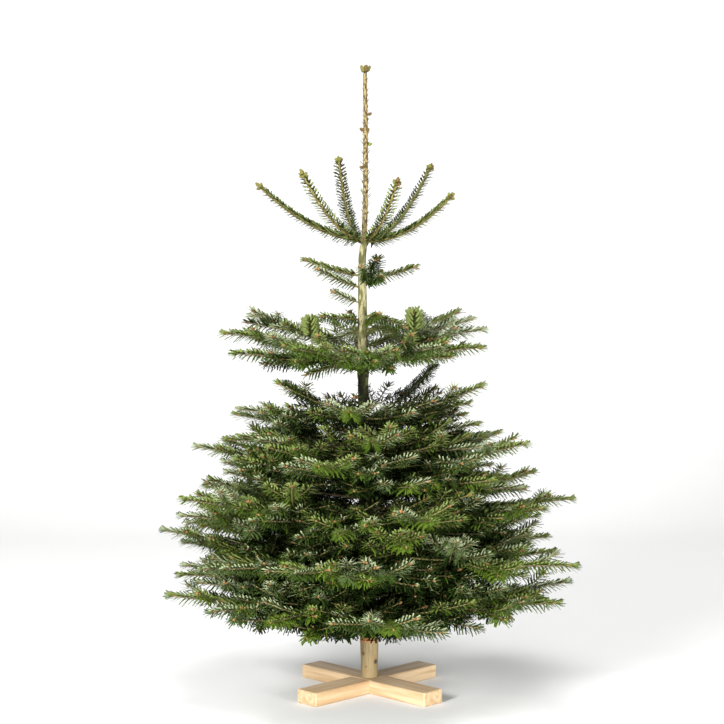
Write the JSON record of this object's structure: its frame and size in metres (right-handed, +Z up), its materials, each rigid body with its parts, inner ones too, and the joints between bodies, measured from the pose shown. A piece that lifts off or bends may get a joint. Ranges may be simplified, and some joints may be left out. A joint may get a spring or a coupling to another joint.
{
  "type": "cut christmas fir tree on a wooden cross stand",
  "caption": "Cut young fir: tiers of needled boughs round a straight trunk, a nearly bare leader on top, and a plain half-lapped wooden cross as its stand.",
  "frame": {"origin": "on the flat underside of the cross stand, straight below the middle of the trunk's flat cut", "axes": "+Z up along the trunk to the leader's bud; +Y away from the side the picture shows; +X to that view's right"},
  "size_m": [1.2489, 1.1957, 1.8883],
  "materials": {
    "bark": "matt grey-brown bark with resin blisters, pale shaved wood at the foot",
    "needles": "dark green needles with a slight sheen and pale undersides",
    "stand_wood": "planed softwood, unvarnished",
    "pin_steel": "plain steel rod"
  },
  "bodies": {
    "root": {"broad_bough_1": "bark", "broad_bough_2": "bark", "broad_bough_3": "bark", "broad_bough_4": "bark", "broad_bough_5": "bark", "broad_foliage_1": "needles", "broad_foliage_2": "needles", "broad_foliage_3": "needles", "broad_foliage_4": "needles", "broad_foliage_5": "needles", "crown_foliage_1": "needles", "crown_foliage_2": "needles", "crown_foliage_3": "needles", "crown_foliage_4": "needles", "crown_foliage_5": "needles", "crown_foliage_6": "needles", "lowest_bough_1": "bark", "lowest_bough_2": "bark", "lowest_bough_3": "bark", "lowest_bough_4": "bark", "lowest_bough_5": "bark", "lowest_foliage_1": "needles", "lowest_foliage_2": "needles", "lowest_foliage_3": "needles", "lowest_foliage_4": "needles", "lowest_foliage_5": "needles", "middle_foliage_1": "needles", "middle_foliage_2": "needles", "middle_foliage_3": "needles", "middle_foliage_4": "needles", "middle_foliage_5": "needles", "shoulder_foliage_1": "needles", "shoulder_foliage_2": "needles", "shoulder_foliage_3": "needles", "shoulder_foliage_4": "needles", "shoulder_foliage_5": "needles", "side_shoot_1": "needles", "side_shoot_2": "needles", "side_shoot_3": "needles", "side_shoot_4": "needles", "stand_beam_lower": "stand_wood", "stand_beam_upper": "stand_wood", "stand_pin": "pin_steel", "trunk": "bark", "upper_foliage_1": "needles", "upper_foliage_2": "needles", "upper_foliage_3": "needles", "upper_foliage_4": "needles", "upper_foliage_5": "needles", "upper_foliage_6": "needles", "widest_bough_1": "bark", "widest_bough_2": "bark", "widest_bough_3": "bark", "widest_bough_4": "bark", "widest_bough_5": "bark", "widest_foliage_1": "needles", "widest_foliage_2": "needles", "widest_foliage_3": "needles", "widest_foliage_4": "needles", "widest_foliage_5": "needles"}
  },
  "joints": []
}
